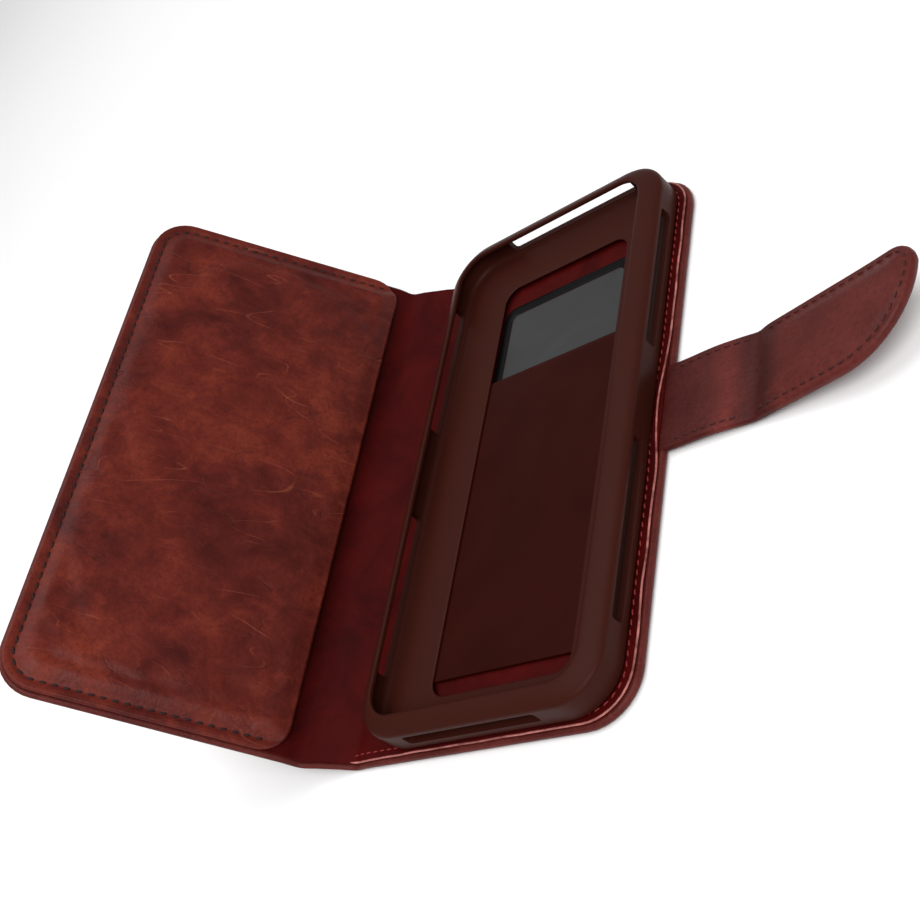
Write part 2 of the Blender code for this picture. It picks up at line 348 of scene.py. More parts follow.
def smooth_plastic(name, dark, light, roughness, specular):
    """A moulded face with faint flow marks and a few wipe marks in its gloss."""
    made = Nodes(name, roughness, specular)
    flow = made.noise(22, 4, 0.5, 1.5)
    colour = made.ramp(flow, [(0.3, dark), (0.7, light)])
    wipes = made.noise(55, 4, 0.6, 0.4, made.stretched((1.0, 0.25, 1.0)))
    gloss = made.ramp(wipes, [(0.3, roughness * 0.8), (0.75, roughness * 1.35)])
    return made.finish(colour, gloss, [(made.noise(1800, 2), 0.00005, 0.15), (flow, 0.0004, 0.1)])


def edge_material():
    # A pale pink line along the lining's edge, in patches between dark red and pink.
    made = Nodes("pale_edge_line", 0.45, specular=0.5)
    wear = made.noise(260, 4, 0.6)
    colour = made.ramp(wear, [(0.35, (0.13, 0.022, 0.018)), (0.66, (0.46, 0.15, 0.13))])
    return made.finish(colour, None, [(wear, 0.0002, 0.4)])


def thread_material(name, dark, light):
    made = Nodes(name, 0.6, specular=0.3)
    fibre = made.noise(2400, 3, 0.7, 0.0, made.stretched((1.0, 3.0, 1.0), 0.5))
    return made.finish(made.ramp(fibre, [(0.3, dark), (0.7, light)]), None, [(fibre, 0.0001, 0.5)])


def hidden_material(name, dark, light, roughness, scale, metallic=0.0):
    """For the boards, foam and magnets that the skins cover."""
    made = Nodes(name, roughness)
    made.object_coordinates()
    made.shader.inputs["Metallic"].default_value = metallic
    speck = made.noise(scale, 4, 0.65)
    return made.finish(made.ramp(speck, [(0.3, dark), (0.7, light)]), None, [(speck, 0.0001, 0.3)])


OUTER_TONES = ((0.040, 0.0042, 0.0034), (0.086, 0.0125, 0.0098), (0.138, 0.0240, 0.0175),
               (0.22, 0.055, 0.04))
# The cover's tones raised by 1.35, so that the strap's painted highlight can rise above them; the painted
# band's 0.74 brings the rest of the strap back to about the cover's tones.
STRAP_SHEEN_TONES = tuple(tuple(1.35 * part for part in tone) for tone in OUTER_TONES)
PANEL_TONES = ((0.043, 0.0040, 0.0030), (0.094, 0.0105, 0.0062), (0.160, 0.0225, 0.0105),
               (0.30, 0.075, 0.04))


def plain_leather(name, tones, **wear):
    made, colour, gloss, bumps = leather(name, *tones, **wear)
    return made.finish(colour, gloss, bumps)


OUTER = plain_leather("outer_leather_waxed", OUTER_TONES, mottle=0.7, wear=0.5)
PANEL = plain_leather("panel_leather_aged", PANEL_TONES)
STRAP = strap_leather()
LINING = lining_material()
RUBBER = rubber_material()
PLATE = smooth_plastic("plate_gloss", (0.020, 0.0020, 0.0010), (0.026, 0.0034, 0.0016), 0.2, 0.04)
BLACK = smooth_plastic("black_frame", (0.0015, 0.0015, 0.0015), (0.003, 0.003, 0.003), 0.28, 0.06)
GREY = smooth_plastic("grey_pad", (0.030, 0.030, 0.031), (0.042, 0.043, 0.044), 0.36, 0.12)
EDGE = edge_material()
STRAP_THREAD = thread_material("strap_thread", (0.014, 0.002, 0.0016), (0.070, 0.012, 0.009))
DARK_THREAD = thread_material("dark_thread", (0.005, 0.0006, 0.0006), (0.020, 0.002, 0.002))
RED_THREAD = thread_material("red_thread", (0.11, 0.006, 0.006), (0.30, 0.030, 0.026))


# ---------------------------------------------------------------- mesh makers


def finished(name, mesh, flat, stuff, body=None, sharp=50):
    """The piece of a bmesh, with its flat coordinates kept for the materials."""
    bmesh.ops.recalc_face_normals(mesh, faces=mesh.faces)
    data = bpy.data.meshes.new(name)
    mesh.to_mesh(data)
    mesh.free()
    attribute = data.attributes.new("flat", "FLOAT_VECTOR", "POINT")
    attribute.data.foreach_set("vector", [value * MM for point in flat for value in point])
    data.polygons.foreach_set("use_smooth", [True] * len(data.polygons))
    data.set_sharp_from_angle(angle=radians(sharp))
    data.materials.append(stuff)
    made = bpy.data.objects.new(name, data)
    bpy.context.scene.collection.objects.link(made)
    if body:
        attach(made, body)
    return made


# Faces round a leather layer's edge, less one
RIM_STEPS = 4


def spread(count):
    """Shares from -1 to 1 that crowd towards both ends."""
    return [sin(pi / 2 * (2 * step / count - 1)) for step in range(count + 1)]


def layer(columns, low, high, place, edge, open_start=False, open_end=False, rows=56):
    """The mesh of a leather layer between two heights, with a rounded edge all round.

    columns are (u, lowest y, highest y). low and high give n at a point. An open end meets
    another layer, so it is cut square. It returns the mesh and its flat coordinates.
    """
    shares = spread(rows)
    mesh = bmesh.new()
    flat = []
    top = []
    bottom = []

    def vertex(u, y, n):
        flat.append((u, y, n))
        return mesh.verts.new(place(u, y, n))

    grid = []
    for u, y0, y1 in columns:
        grid.append([(u, (y0 + y1) / 2 + (y1 - y0) / 2 * share) for share in shares])
    for line in grid:
        top.append([vertex(u, y, high(u, y)) for u, y in line])
        bottom.append([vertex(u, y, low(u, y)) for u, y in line])
    last, side = len(columns) - 1, rows
    ring = [(i, 0) for i in range(last + 1)] + [(last, j) for j in range(1, side + 1)]
    ring += [(i, side) for i in range(last - 1, -1, -1)] + [(0, j) for j in range(side - 1, 0, -1)]
    for i in range(last):
        for j in range(side):
            corners = ((i, j), (i + 1, j), (i + 1, j + 1), (i, j + 1))
            mesh.faces.new([top[a][b] for a, b in corners])
            mesh.faces.new([bottom[a][b] for a, b in reversed(corners)])

    def seam(a, b):
        return (open_start and a[0] == b[0] == 0) or (open_end and a[0] == b[0] == last)

    rims = []
    side_sign = 1 if columns[-1][0] > columns[0][0] else -1
    for k, here in enumerate(ring):
        outward = Vector((0.0, 0.0))
        for a, b in ((ring[k - 1], here), (here, ring[(k + 1) % len(ring)])):
            if not seam(a, b):
                du = grid[b[0]][b[1]][0] - grid[a[0]][a[1]][0]
                dy = grid[b[0]][b[1]][1] - grid[a[0]][a[1]][1]
                outward += side_sign * Vector((dy, -du)).normalized()
        if outward.length:
            outward.normalize()
        (u, y), (i, j) = grid[here[0]][here[1]], here
        n_low, n_high = low(u, y), high(u, y)
        rim = [top[i][j]]
        for step in range(1, RIM_STEPS + 1):
            turn = pi / 2 - pi * step / (RIM_STEPS + 1)
            out = edge * cos(turn)
            n = (n_low + n_high) / 2 + (n_high - n_low) / 2 * sin(turn)
            rim.append(vertex(u + outward.x * out, y + outward.y * out, n))
        rim.append(bottom[i][j])
        rims.append(rim)
    for k, rim in enumerate(rims):
        after = rims[(k + 1) % len(rims)]
        for step in range(RIM_STEPS + 1):
            mesh.faces.new((rim[step], rim[step + 1], after[step + 1], after[step]))
    mesh.verts.index_update()
    return mesh, flat


def corner_columns(u_end, inward, radius, half, steps=9):
    """Columns through a pair of round corners that end at u_end."""
    found = []
    for step in range(1, steps + 1):
        turn = pi / 2 * step / steps
        reach = radius - radius * cos(turn)
        found.append((u_end + inward * (radius - radius * sin(turn)), -half + reach, half - reach))
    return found


def straight_columns(u0, u1, half, step):
    count = max(2, round(abs(u1 - u0) / step))
    return [(mix(u0, u1, k / count), -half, half) for k in range(count + 1)]


def fold_columns(points, half):
    """Columns along stretches: points are (u, spacing up to the next point)."""
    found = []
    for (u0, step), (u1, _) in zip(points, points[1:]):
        found += straight_columns(u0, u1, half, step)[:-1]
    return found + [(points[-1][0], -half, half)]


def rounded_loop(x0, x1, y0, y1, radius, steps, straight):
    """Points (x, y) round a rounded rectangle: steps in each corner, straight on each side."""
    radius = max(radius, 0.05)
    centres = ((x1, y1, -1, -1, 0), (x0, y1, 1, -1, 90), (x0, y0, 1, 1, 180), (x1, y0, -1, 1, 270))
    points = []
    for x, y, inward_x, inward_y, start in centres:
        cx, cy = x + inward_x * radius, y + inward_y * radius
        for step in range(steps + 1):
            turn = radians(start + 90 * step / steps)
            points.append((cx + radius * cos(turn), cy + radius * sin(turn)))
    full = []
    for k, point in enumerate(points):
        full.append(point)
        if k % (steps + 1) == steps:
            after = points[(k + 1) % len(points)]
            full += [
                (mix(point[0], after[0], part / straight), mix(point[1], after[1], part / straight))
                for part in range(1, straight)
            ]
    return full


def join_rings(mesh, rings, closed=False):
    """Faces from each ring to the next. A closed row meets its start, another one gets caps."""
    pairs = list(zip(rings, rings[1:]))
    if closed:
        pairs.append((rings[-1], rings[0]))
    for a, b in pairs:
        for k in range(len(a)):
            after = (k + 1) % len(a)
            mesh.faces.new((a[k], a[after], b[after], b[k]))
    if not closed:
        mesh.faces.new(rings[0])
        mesh.faces.new(rings[-1])


def thread_ring(centre, direction, radius, sides):
    """Points of a circle across a direction of the (u, y) plane."""
    (u, y, n), (du, dy) = centre, direction
    turns = [2 * pi * side / sides for side in range(sides)]
    return [
        (u - dy * radius * cos(turn), y + du * radius * cos(turn), n + radius * sin(turn))
        for turn in turns
    ]


def loft(name, loops, stuff, closed, body=None, sharp=50):
    """A skin through loops of (points, z). A closed one is a ring, another one gets end caps."""
    mesh = bmesh.new()
    flat = []
    rings = []
    for points, z in loops:
        rings.append([mesh.verts.new(place_flat(x, y, z)) for x, y in points])
        flat += [(x, y, z) for x, y in points]
    join_rings(mesh, rings, closed)
    return finished(name, mesh, flat, stuff, body, sharp)


def along(path, pitch, start=0.0):
    """(point, direction) every pitch along an open path of (u, y)."""
    found, travelled, wanted = [], 0.0, start
    for a, b in zip(path, path[1:]):
        length = hypot(b[0] - a[0], b[1] - a[1])
        while length > 0 and wanted <= travelled + length:
            share = (wanted - travelled) / length
            direction = ((b[0] - a[0]) / length, (b[1] - a[1]) / length)
            found.append(((mix(a[0], b[0], share), mix(a[1], b[1], share)), direction))
            wanted += pitch
        travelled += length
    return found


def stitches(name, path, height, place, stuff, body, length, thick, pitch, keep=lambda u: True):
    """Separate stitches along a path, each a slightly slanted plump thread that dips at its ends."""
    mesh = bmesh.new()
    flat = []
    parts = 6
    for (u, y), (du, dy) in along(path, pitch, pitch / 2):
        if not keep(u):
            continue
        du, dy = du - STITCH_SLANT * dy, dy + STITCH_SLANT * du
        rings = []
        for part in range(parts + 1):
            share = 2 * part / parts - 1
            radius = thick / 2 * max(0.12, (1 - share**4)) ** 0.5
            cu, cy = u + du * share * length / 2, y + dy * share * length / 2
            cn = height(cu, cy) + thick * (0.22 - 0.5 * share**4)
            points = thread_ring((cu, cy, cn), (du, dy), radius, 6)
            rings.append([mesh.verts.new(place(*point)) for point in points])
            flat += points
        join_rings(mesh, rings)
    return finished(name, mesh, flat, stuff, body, 80)


def bead(name, path, radius, place, stuff, body):
    """A thin bead along an open path of (u, y, n), finer at its ends."""
    mesh = bmesh.new()
    flat = []
    rings = []
    last = len(path) - 1
    for k, centre in enumerate(path):
        before, after = path[max(k - 1, 0)], path[min(k + 1, last)]
        du, dy = after[0] - before[0], after[1] - before[1]
        length = hypot(du, dy) or 1.0
        size = radius * (0.25 if k in (0, last) else 1.0)
        points = thread_ring(centre, (du / length, dy / length), size, 8)
        rings.append([mesh.verts.new(place(*point)) for point in points])
        flat += points
    join_rings(mesh, rings)
    return finished(name, mesh, flat, stuff, body)


def apply_modifier(obj, modifier):
    """Bakes the object's only modifier into its mesh."""
    bpy.context.view_layer.update()
    graph = bpy.context.evaluated_depsgraph_get()
    mesh = bpy.data.meshes.new_from_object(obj.evaluated_get(graph))
    obj.modifiers.remove(modifier)
    obj.data = mesh


# ---------------------------------------------------------------- covers


def by_stretch(u, back, spine, flap):
    """A height that differs between the back cover, the spine and the flap."""
    height = mix(spine, back, smooth((u + 1.0) / 4.0))
    return mix(height, flap, smooth((-SPINE + 1.0 - u) / 4.0))


def outer_top(u, y=0.0):
    return by_stretch(u, 0.6, -0.45, 0.5)


def outer_bottom(u, y):
    return -1.5


def lining_top(u, y):
    soft = 0.25 * noise.noise((u * 0.05, y * 0.035, 3.0))
    on_spine = smooth((u + SPINE) / 4) * smooth(-u / 4)
    return by_stretch(u, 1.55, 1.0, 1.2) + soft * on_spine


def lining_bottom(u, y):
    return outer_top(u) + 0.07


def joined(name, columns, low, high, stuff, edge, bodies, ends):
    """A layer on the covers that lies over their fold, shaped as at rest."""
    mesh, flat = layer(columns, low, high, place_on_cover, edge, open_start=True)
    made = finished(name, mesh, flat, stuff)
    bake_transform(made)
    return made


def back_columns(inset):
    half = HALF_HEIGHT - inset
    flat_part = fold_columns([(SEAM, 0.9), (6.0, 4.0), (BACK_EDGE - BACK_CORNER, 1)], half)
    return flat_part + corner_columns(BACK_EDGE - inset, -1, BACK_CORNER - inset, half)


def flap_columns(inset):
    half = HALF_HEIGHT - inset
    flat_part = fold_columns([(SEAM, 0.9), (-SPINE - 6.0, 4.0), (FLAP_EDGE + FLAP_CORNER, 1)], half)
    return flat_part + corner_columns(FLAP_EDGE + inset, 1, FLAP_CORNER - inset, half)


def covers():
    at_back_fold = ("back_cover", "spine"), (BEND, -BEND)
    at_flap_fold = ("spine", "flap"), (-SPINE + BEND, -SPINE - BEND)
    skin = joined("back_cover_leather", back_columns(OUTER_EDGE), outer_bottom, outer_top, OUTER,
                  OUTER_EDGE, *at_back_fold)
    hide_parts("back_shell", "spine_shell")
    skin = joined("flap_cover_leather", flap_columns(OUTER_EDGE), outer_bottom, outer_top, OUTER,
                  OUTER_EDGE, *at_flap_fold)
    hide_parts("flap_shell")

    inset = LINING_INSET + LINING_EDGE
    lining = joined("back_lining_leather", back_columns(inset), lining_bottom, lining_top, LINING,
                    LINING_EDGE, *at_back_fold)
    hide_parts("back_lining", "spine_lining")
    pocket = joined("pocket_lining_leather", flap_columns(inset), lining_bottom, lining_top, LINING,
                    LINING_EDGE, *at_flap_fold)
    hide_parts("pocket_lining")


def back_edge_path(inset, n, first_u=-2.0, wobble=0.0):
    """Along the bottom, strap side and top of the back cover, pulled in where the strap starts."""
    points = rounded_loop(-40.0, BACK_EDGE - inset, -HALF_HEIGHT + inset, HALF_HEIGHT - inset,
                          BACK_CORNER - inset, 10, 60)
    right = [p for p in points if p[0] >= first_u]
    start = min(range(len(right)), key=lambda k: (right[k][1] > 0, right[k][0]))
    right = right[start:] + right[:start]
    path = []
    for u, y in right:
        near = smooth(1 - abs(y - STRAP_MIDDLE) / (STRAP_HALF + 9)) if u > 60 else 0.0
        sway = wobble * noise.noise((u * 0.12, y * 0.09, 7.0))
        path.append((u - 1.1 * near + sway, y + sway * (u < 60), n + 0.45 * near))
    return path


def cover_trim():
    path = back_edge_path(LINING_INSET, 1.45, wobble=0.35)
    rim = bead("back_lining_edge", path, 0.27, place_on_cover, EDGE, "back_cover")
    line = [(u, y) for u, y, _ in back_edge_path(LINING_INSET + 1.9, 0.0)]
    thread = stitches("back_cover_stitches", line, lining_top, place_on_cover, RED_THREAD,
                      "back_cover", length=1.7, thick=0.42, pitch=2.6)


# ---------------------------------------------------------------- padded panel


def panel_distance(u, y):
    """Distance in from the panel's three free sides, round their corners."""
    radius = FLAP_CORNER - PANEL_MARGIN
    across = u - PANEL_EDGE
    up = PANEL_HALF - abs(y)
    if across < radius and up < radius:
        return radius - hypot(radius - across, radius - up)
    return min(across, up)


def panel_top(u, y):
    distance, from_fold = panel_distance(u, y), PANEL_FOLD_EDGE - u
    rise = min(smooth((distance - 3.2) / 5.0), 0.35 + 0.65 * smooth(from_fold / 6.0))
    channel = 0.8 * max(0.0, 1 - abs(distance - STITCH_INSET) / 1.1) * smooth(from_fold / 2.0)
    crown = 0.3 * smooth(distance / 40.0)
    swell = 0.18 * noise.noise((u * 0.045, y * 0.04, 1.7)) * smooth((distance - 5) / 10)
    return PANEL_BORDER_TOP + 1.8 * rise + crown + swell - channel


def padded_panel():
    """Cloth held down at its border and blown up a little from inside, like leather over foam."""
    edge = 0.7
    half = PANEL_HALF - edge
    u0, u1 = PANEL_FOLD_EDGE - edge, PANEL_EDGE + edge
    free_corner = FLAP_CORNER - PANEL_MARGIN - edge
    columns = list(reversed(corner_columns(u0, -1, PANEL_FOLD_CORNER, half, 8)))
    columns += straight_columns(u0 - PANEL_FOLD_CORNER, u1 + free_corner, half, 1.9)
    columns += corner_columns(u1, 1, free_corner, half)
    mesh, flat = layer(columns, lambda u, y: PANEL_UNDERSIDE, panel_top, place_flat, edge, rows=84)
    made = finished("panel_leather_pad", mesh, flat, PANEL)
    inflate(made, flat)
    for vertex in made.data.vertices:
        vertex.co = place_on_cover(*(value / MM for value in vertex.co))
    made.data.set_sharp_from_angle(angle=radians(60))
    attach(made, "flap")
    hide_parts("panel_leather")
    return made


def inflate(pad, flat):
    """Runs the cloth on the flat pad and keeps the result, up to a small cap."""
    held = pad.vertex_groups.new(name="held")
    for index, (u, y, n) in enumerate(flat):
        free = smooth((min(panel_distance(u, y), PANEL_FOLD_EDGE - u + 2.0) - 5.5) / 4.0)
        on_top = n > PANEL_BORDER_TOP - 0.4
        held.add([index], 1.0 - free if on_top else 1.0, "REPLACE")
    before = [vertex.co.copy() for vertex in pad.data.vertices]
    cloth = pad.modifiers.new("cloth", "CLOTH")
    cloth.settings.vertex_group_mass = "held"
    cloth.settings.use_pressure = True
    cloth.settings.uniform_pressure_force = CLOTH_PRESSURE
    cloth.settings.effector_weights.gravity = 0.0
    cloth.settings.quality = 6
    cloth.settings.mass = 0.2
    cloth.settings.tension_stiffness = 12
    cloth.settings.compression_stiffness = 12
    cloth.settings.shear_stiffness = 5
    cloth.settings.bending_stiffness = 0.4
    cloth.settings.shrink_min = -0.012
    cloth.collision_settings.use_collision = False
    scene = bpy.context.scene
    for number in range(1, CLOTH_FRAMES + 1):
        scene.frame_set(number)
    graph = bpy.context.evaluated_depsgraph_get()
    settled = pad.evaluated_get(graph)
    after = [vertex.co.copy() for vertex in settled.data.vertices]
    pad.modifiers.remove(cloth)
    scene.frame_set(1)
    moves = []
    for vertex, old, new in zip(pad.data.vertices, before, after):
        move = new - old
        if move.length > CLOTH_CAP:
            move = move * (CLOTH_CAP / move.length)
        moves.append(move.length)
        vertex.co = old + move
    pad.vertex_groups.clear()
    print("cloth moved the panel by up to", round(max(moves) / MM, 2), "mm")


def panel_stitches():
    inset = STITCH_INSET
    loop = rounded_loop(PANEL_EDGE + inset, 40.0, -PANEL_HALF + inset, PANEL_HALF - inset,
                        FLAP_CORNER - PANEL_MARGIN - inset, 10, 40)
    path = [p for p in loop if p[0] <= PANEL_FOLD_EDGE - 3.0]
    start = max(range(len(path)), key=lambda k: (path[k][1] > 0, path[k][0]))
    path = path[start:] + path[:start]
    thread = stitches("panel_stitches", path, panel_top, place_on_cover, DARK_THREAD, "flap",
                      length=2.3, thick=0.78, pitch=STITCH_PITCH)


# ---------------------------------------------------------------- phone tray


TRAY_LOW, TRAY_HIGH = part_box("phone_tray")
TRAY = (TRAY_LOW.x / MM, TRAY_HIGH.x / MM, TRAY_LOW.y / MM, TRAY_HIGH.y / MM)
TRAY_BOTTOM, TRAY_TOP = TRAY_LOW.z / MM, TRAY_HIGH.z / MM
TRAY_CORNER = 13.0
WALL = 1.8
FLOOR_TOP = 4.9
WINDOW = (-18.5, 27.0, -69.5, 66.0)
WINDOW_CORNER = 5.0
SLOT_HEIGHT = 3.8
SLOT_MIDDLE = 8.0
TOP_SLOT_HEIGHT = 5.0
TOP_SLOT_MIDDLE = 8.4
# A slot's cutter passes this far through the middle of a wall, to each side
CUTTER_REACH = 2.4
# How far the lip reaches in: left, right, bottom, top
LIPS = (4.0, 7.0, 6.0, 4.4)


def tray_loop(inset, reach=0.0):
    """The tray's outline moved in evenly, and then by a share of each side's own lip."""
    x0, x1, y0, y1 = TRAY
    left, right, bottom, top = (inset + reach * (lip - WALL) for lip in LIPS)
    radius = TRAY_CORNER - inset - 3.0 * reach
    return rounded_loop(x0 + left, x1 - right, y0 + bottom, y1 - top, radius, 10, 12)


def window_loop(outset):
    x0, x1, y0, y1 = WINDOW
    return rounded_loop(x0 - outset, x1 + outset, y0 - outset, y1 + outset, WINDOW_CORNER + outset, 10, 12)


def slot_cutter(middle, length, wall, along_x, height=SLOT_HEIGHT, level=SLOT_MIDDLE):
    """A closed block with round corners that cuts one slot in a tray wall."""
    outline = rounded_loop(-length / 2, length / 2, -height / 2, height / 2, 0.9, 4, 2)
    block = loft("slot_cutter", [(outline, -CUTTER_REACH), (outline, CUTTER_REACH)], RUBBER, False)
    stand = Matrix.Rotation(pi / 2, 4, "X")
    place = (middle, wall) if along_x else (wall, middle)
    if not along_x:
        stand = Matrix.Rotation(pi / 2, 4, "Z") @ stand
    block.matrix_world = Matrix.Translation(place_flat(*place, level)) @ stand
    return block


def tray():
    """The tray's section swept round it: outer wall, fat rim, lip, inner wall, floor, window."""
    rim = TRAY_TOP
    section = [(0.5, 0.0, TRAY_BOTTOM), (0.15, 0.0, TRAY_BOTTOM + 0.25), (0.0, 0.0, TRAY_BOTTOM + 0.8),
               (0.0, 0.0, rim - 2.6), (0.05, 0.0, rim - 2.1), (0.25, 0.0, rim - 1.6),
               (0.6, 0.05, rim - 1.15), (1.0, 0.16, rim - 0.8), (1.4, 0.36, rim - 0.4),
               (1.7, 0.60, rim - 0.12), (WALL, 0.80, rim), (WALL, 0.93, rim - 0.08),
               (WALL, 1.0, rim - 0.4), (WALL, 1.0, rim - 1.0), (WALL, 0.94, rim - 1.3),
               (WALL, 0.75, rim - 1.4), (WALL, 0.3, rim - 1.5), (WALL, 0.06, rim - 1.8),
               (WALL, 0.0, rim - 2.3), (WALL, 0.0, FLOOR_TOP + 1.6), (WALL + 0.3, 0.0, FLOOR_TOP + 0.6),
               (WALL + 1.1, 0.0, FLOOR_TOP + 0.1), (WALL + 2.2, 0.0, FLOOR_TOP)]
    loops = [(tray_loop(inset, reach), z) for inset, reach, z in section]
    for outset, z in ((0.6, FLOOR_TOP), (0.15, FLOOR_TOP - 0.05), (0.0, FLOOR_TOP - 0.2),
                      (0.0, TRAY_BOTTOM + 1.05), (0.3, TRAY_BOTTOM + 0.95)):
        loops.append((window_loop(outset), z))
    loops.append((tray_loop(8.5), TRAY_BOTTOM + 0.95))
    loops.append((tray_loop(8.3), TRAY_BOTTOM))
    made = loft("phone_tray_moulding", loops, RUBBER, True, sharp=42)
    x0, x1, y0, y1 = TRAY
    # Middle, length, place of the wall, whether the slot runs along X, then height and level
    cuts = [(6.0, 45.6, y1 - WALL / 2, True, TOP_SLOT_HEIGHT, TOP_SLOT_MIDDLE),
            (1.0, 43.0, y0 + WALL / 2, True)]
    for wall in (x0 + WALL / 2, x1 - WALL / 2):
        cuts += [(40.5, 46.0, wall, False), (-36.5, 50.0, wall, False)]
    for values in cuts:
        block = slot_cutter(*values)
        modifier = made.modifiers.new("slot", "BOOLEAN")
        modifier.object = block
        modifier.operation = "DIFFERENCE"
        modifier.solver = "EXACT"
        apply_modifier(made, modifier)
        bpy.data.objects.remove(block, do_unlink=True)
    made.data.polygons.foreach_set("use_smooth", [True] * len(made.data.polygons))
    made.data.set_sharp_from_angle(angle=radians(42))
    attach(made, "holder")
    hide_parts("phone_tray")


def soft_block(name, node, corner, ease, stuff, body, lift=0.0):
    """A flat plate over a CAD node's box, with an eased upper edge."""
    low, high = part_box(node)
    x0, x1, y0, y1 = low.x / MM, high.x / MM, low.y / MM, high.y / MM
    bottom, top = low.z / MM, high.z / MM + lift

    def loop(inset):
        return rounded_loop(x0 + inset, x1 - inset, y0 + inset, y1 - inset, corner - inset, 8, 4)

    loops = [(loop(0.1), bottom), (loop(0.0), bottom + 0.1), (loop(0.0), top - ease)]
    loops += [(loop(ease * (1 - cos(t))), top - ease * (1 - sin(t))) for t in (pi / 6, pi / 3, pi / 2)]
    loops.append((loop(ease + 1.2), top + 0.01))
    made = loft(name, loops, stuff, False, body)
    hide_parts(node)


def slide_base():
    low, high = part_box("slide_base_frame")
    x0, x1, y0, y1 = low.x / MM, high.x / MM, low.y / MM, high.y / MM
    top = high.z / MM + 0.15

    def loop(inset):
        return rounded_loop(x0 + inset, x1 - inset, y0 + inset, y1 - inset, 4.0 - inset * 0.5, 8, 4)

    section = [(0.0, 2.3), (0.0, top - 0.3), (0.1, top - 0.1), (0.35, top), (2.3, top),
               (2.75, top - 0.08), (3.0, top - 0.25), (3.25, top - 0.3), (3.25, 2.3)]
    frame_ring = loft("slide_base_ring", [(loop(i), z) for i, z in section], BLACK, True, "back_cover")
    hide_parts("slide_base_frame")
    soft_block("slide_base_panel", "slide_base_pad", 2.35, 0.2, GREY, "back_cover", 0.05)


# ---------------------------------------------------------------- strap


def tongue_edges(s):
    """(lowest y, highest y) of the strap at s, with its round end."""
    low, high = STRAP_MIDDLE - STRAP_HALF, STRAP_MIDDLE + STRAP_HALF
    turn = high - TIP_CORNER
    past = (s - (TIP_END - TIP_ROUND)) / TIP_ROUND
    if past > 0:
        low = turn - (turn - low) * max(0.0, 1 - past**2) ** 0.5
    past = (s - (TIP_END - TIP_CORNER)) / TIP_CORNER
    if past > 0:
        high = turn + TIP_CORNER * max(0.0, 1 - past**2) ** 0.5
    return low, high


def strap_swell(s, y):
    """How far the tip swells over its stiffener and magnets."""
    low, high = tongue_edges(min(s, TIP_END))
    rim = max(0.0, min(y - low, high - y, TIP_END - s))
    return smooth((s - STRAP_BASE - 2) / 7) * smooth((rim - 1.5) / 4.5)


def strap_top(s, y):
    crease = 0.25 * max(0.0, 1 - abs(s - STRAP_BASE) / 2.5)
    return mix(0.95, 1.25, smooth((s - STRAP_BASE) / 4)) + 0.75 * strap_swell(s, y) - crease


def strap_bottom(s, y):
    return -mix(0.95, 1.15, smooth((s - STRAP_BASE) / 4)) - 0.45 * strap_swell(s, y)


def strap():
    edge = 0.7
    middle = STRAP_BASE / 2 + 1

    def columns(stops):
        found = []
        for (s0, step), (s1, _) in zip(stops, stops[1:]):
            count = max(1, round((s1 - s0) / step))
            found += [mix(s0, s1, k / count) for k in range(count)]
        return found

    places = columns([(STRAP_START, 0.8), (middle, 1)]) + [middle]
    base = [(s, STRAP_MIDDLE - STRAP_HALF + edge, STRAP_MIDDLE + STRAP_HALF - edge) for s in places]
    mesh, flat = layer(base, thin_start(strap_bottom), thin_start(strap_top), place_on_strap,
                       edge, open_end=True, rows=26)
    made = finished("strap_base_leather", mesh, flat, STRAP)
    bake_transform(made)
    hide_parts("strap_base_outer", "strap_base_lining")

    places = columns([(middle, 0.8), (TIP_END - TIP_ROUND, 1)])
    reach = TIP_ROUND - edge
    places += [TIP_END - TIP_ROUND + reach * sin(pi / 2 * k / 22) for k in range(23)]
    tip = []
    for s in places:
        grown = TIP_END - TIP_ROUND + (s - TIP_END + TIP_ROUND) * TIP_ROUND / reach
        low, high = tongue_edges(min(max(s, grown), TIP_END))
        middle_y, reach_y = (low + high) / 2, max((high - low) / 2 - edge, 0.2)
        tip.append((s, middle_y - reach_y, middle_y + reach_y))
    mesh, flat = layer(tip, strap_bottom, strap_top, place_on_strap, edge, open_start=True, rows=32)
    made = finished("strap_tip_leather", mesh, flat, STRAP)
    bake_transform(made)
    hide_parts("strap_tip_outer", "strap_tip_lining")


def thin_start(height):
    """The same height, thinner where the strap lies between the back cover's layers."""
    return lambda s, y: height(s, y) * mix(0.45, 1.0, smooth((s + 5.0) / 2.5))


def strap_stitches():
    inset = STRAP_STITCH_INSET
    low, high = STRAP_MIDDLE - STRAP_HALF + inset, STRAP_MIDDLE + STRAP_HALF - inset
    path = [(1.0, low), (TIP_END - TIP_ROUND, low)]
    turn = STRAP_MIDDLE + STRAP_HALF - TIP_CORNER
    for step in range(1, 17):
        angle = -pi / 2 + pi / 2 * step / 16
        wide, tall = TIP_ROUND - inset, turn - STRAP_MIDDLE + STRAP_HALF - inset
        path.append((TIP_END - TIP_ROUND + wide * cos(angle), turn + tall * sin(angle)))
    for step in range(1, 5):
        angle = pi / 2 * step / 4
        small = TIP_CORNER - inset
        path.append((TIP_END - TIP_CORNER + small * cos(angle), turn + small * sin(angle)))
    path.append((1.0, high))
    for name, body, keep in (
        ("strap_base_stitches", "strap_base", lambda s: s < STRAP_BASE - 2.5),
        ("strap_tip_stitches", "strap_tip", lambda s: s > STRAP_BASE + 2.5),
    ):
        thread = stitches(name, path, strap_top, place_on_strap, STRAP_THREAD, body,
                          length=1.8, thick=0.5, pitch=2.6, keep=keep)


# ---------------------------------------------------------------- hidden parts and the set


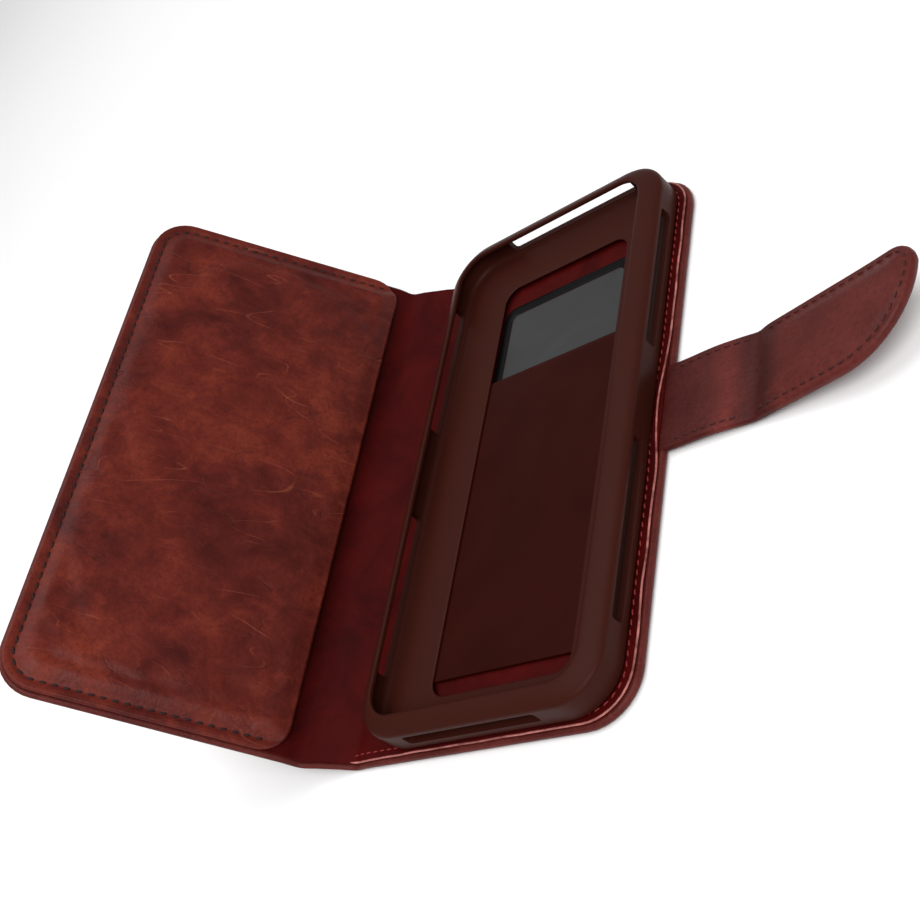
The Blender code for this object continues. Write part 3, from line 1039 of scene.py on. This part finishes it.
def hidden_parts():
    board = hidden_material("stiff_board", (0.13, 0.09, 0.06), (0.24, 0.18, 0.12), 0.8, 700)
    foam = hidden_material("padding_foam", (0.30, 0.26, 0.21), (0.42, 0.37, 0.31), 0.9, 1500)
    steel = hidden_material("plated_steel", (0.45, 0.45, 0.46), (0.62, 0.62, 0.63), 0.3, 400, 1.0)
    hide = hidden_material("leather_inside", (0.06, 0.012, 0.010), (0.11, 0.02, 0.016), 0.6, 500)
    kinds = {
        "back_board": board, "spine_board": board, "flap_board": board, "panel_board": board,
        "strap_stiffener": board, "panel_foam": foam, "striker_plate": steel,
        "magnet_near_fold": steel, "magnet_near_tip": steel, "strap_anchor": hide,
    }
    for name, stuff in kinds.items():
        node = frame["nodes"][name]
        if not node.data.materials:
            node.data.materials.append(stuff)
        for slot in node.material_slots:
            slot.material = stuff


def area_light(name, place, target, size, energy):
    data = bpy.data.lights.new(name, "AREA")
    data.shape = "DISK"
    data.size = size
    data.energy = energy
    light = bpy.data.objects.new(name, data)
    bpy.context.scene.collection.objects.link(light)
    light.location = place
    light.rotation_mode = "QUATERNION"
    light.rotation_quaternion = (Vector(target) - Vector(place)).to_track_quat("-Z", "Y")


def studio():
    floor_mesh = bmesh.new()
    bmesh.ops.create_grid(floor_mesh, x_segments=2, y_segments=2, size=6.0)
    data = bpy.data.meshes.new("studio_floor")
    floor_mesh.to_mesh(data)
    floor_mesh.free()
    floor = bpy.data.objects.new("studio_floor", data)
    bpy.context.scene.collection.objects.link(floor)
    paint = Nodes("studio_paint", 0.9, specular=0.1)
    paint.object_coordinates()
    tint = paint.ramp(paint.noise(3, 2), [(0.3, (0.90, 0.90, 0.90)), (0.7, (0.92, 0.92, 0.92))])
    data.materials.append(paint.finish(tint))
    floor.location.z = -0.0004

    world = bpy.data.worlds.new("studio")
    bpy.context.scene.world = world
    world.use_nodes = True
    world.node_tree.nodes["Background"].inputs["Color"].default_value = (1, 1, 1, 1)
    world.node_tree.nodes["Background"].inputs["Strength"].default_value = 0.5
    middle = (0.0, 0.0, 0.02)
    area_light("key", (0.55, -0.65, 1.10), middle, 1.0, 14)
    area_light("top", (-0.30, 0.35, 1.60), middle, 1.4, 12)
    bpy.context.scene.view_settings.view_transform = "Standard"


def camera():
    data = bpy.data.cameras.new("camera")
    made = bpy.data.objects.new("camera", data)
    bpy.context.scene.collection.objects.link(made)
    place = (0.21068, -0.19318, 0.20779)
    forward = Vector((-0.68766, 0.48856, -0.53706)).normalized()
    upward = Vector((0.24028, 0.85118, 0.46665))
    right = forward.cross(upward).normalized()
    up = right.cross(forward)
    turn = Matrix((right, up, -forward)).transposed().to_4x4()
    made.matrix_world = Matrix.Translation(place) @ turn
    data.lens = 50.3
    data.sensor_width = 36.0
    data.shift_x, data.shift_y = 0.0735, 0.0696
    data.clip_start, data.clip_end = 0.01, 20.0
    bpy.context.scene.camera = made


camera()
covers()
cover_trim()
padded_panel()
panel_stitches()
tray()
soft_block("tray_mounting_plate", "mounting_plate", 3.0, 0.25, PLATE, "holder")
slide_base()
strap()
strap_stitches()
hidden_parts()
studio()
